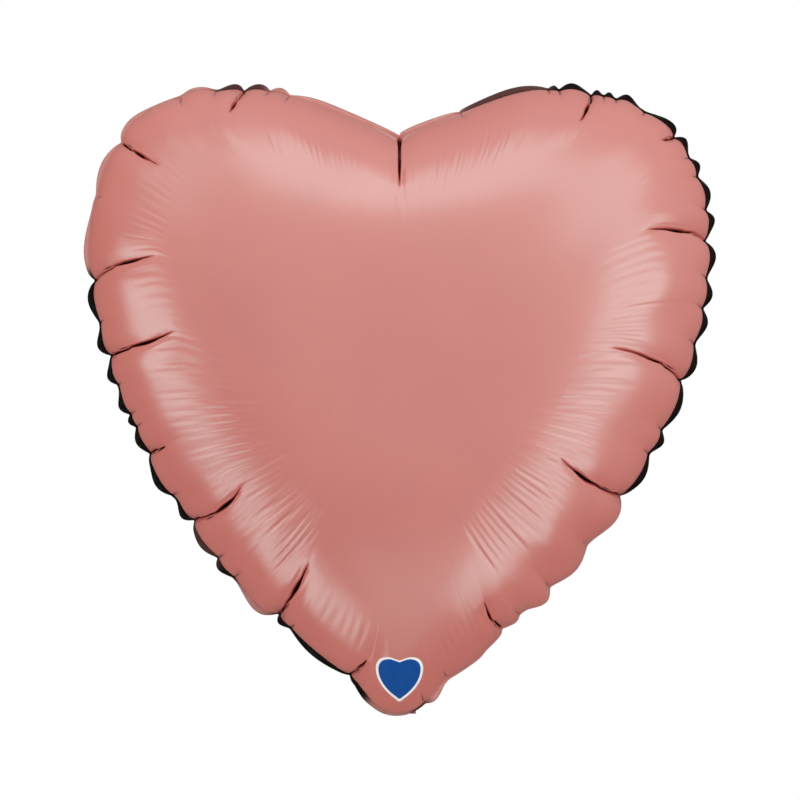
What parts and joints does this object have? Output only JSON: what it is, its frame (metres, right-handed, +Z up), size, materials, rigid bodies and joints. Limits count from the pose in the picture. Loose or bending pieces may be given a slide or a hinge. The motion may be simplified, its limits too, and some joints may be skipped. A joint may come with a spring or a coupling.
{
  "type": "heart-shaped foil balloon",
  "caption": "Inflated heart of satin metallised film with a heat-sealed crinkled edge, a self-sealing inner valve and a fill neck folded back behind the tip.",
  "frame": {"origin": "bottom of the heart's tip on the seam plane, where the fill neck leaves the sealed edge", "axes": "+Z up from the tip to the cleft, -Y out of the printed front face, +X to the viewer's right when the front is seen"},
  "size_m": [0.38, 0.17, 0.382],
  "materials": {
    "foil": "metallised polyester film with a satin rose-gold print and fine crinkles",
    "seal": "glossy heat-sealed metallised film that mirrors its dark surroundings",
    "valve_film": "clear soft polyethylene film",
    "release_ink": "thin matt heat-proof ink",
    "white_ink": "opaque white print, satin",
    "blue_ink": "opaque blue print, satin"
  },
  "bodies": {
    "envelope": {"front_panel": "foil", "back_panel": "foil", "edge_seal": "seal", "valve_front_film": "valve_film", "valve_release_patch": "release_ink", "mark_border_print": "white_ink", "mark_print": "blue_ink"},
    "valve_flap": {"valve_back_film": "valve_film"},
    "neck": {"neck_back_layer": "foil", "valve_back_lip": "valve_film"},
    "neck_lip": {"neck_front_layer": "foil", "valve_front_lip": "valve_film"}
  },
  "joints": [
    {"name": "neck_fold", "type": "hinge", "parent": "envelope", "child": "neck", "pos_m": [0, 0.0016, 0.001], "axis": [1, 0, 0], "range_deg": [-104, 0]},
    {"name": "mouth_open", "type": "hinge", "parent": "neck", "child": "neck_lip", "pos_m": [0, 0.0016, 0.001], "axis": [1, 0, 0], "range_deg": [-18, 0]},
    {"name": "valve_open", "type": "slide", "parent": "envelope", "child": "valve_flap", "axis": [0, 1, 0], "range_m": [0, 0.004]}
  ]
}
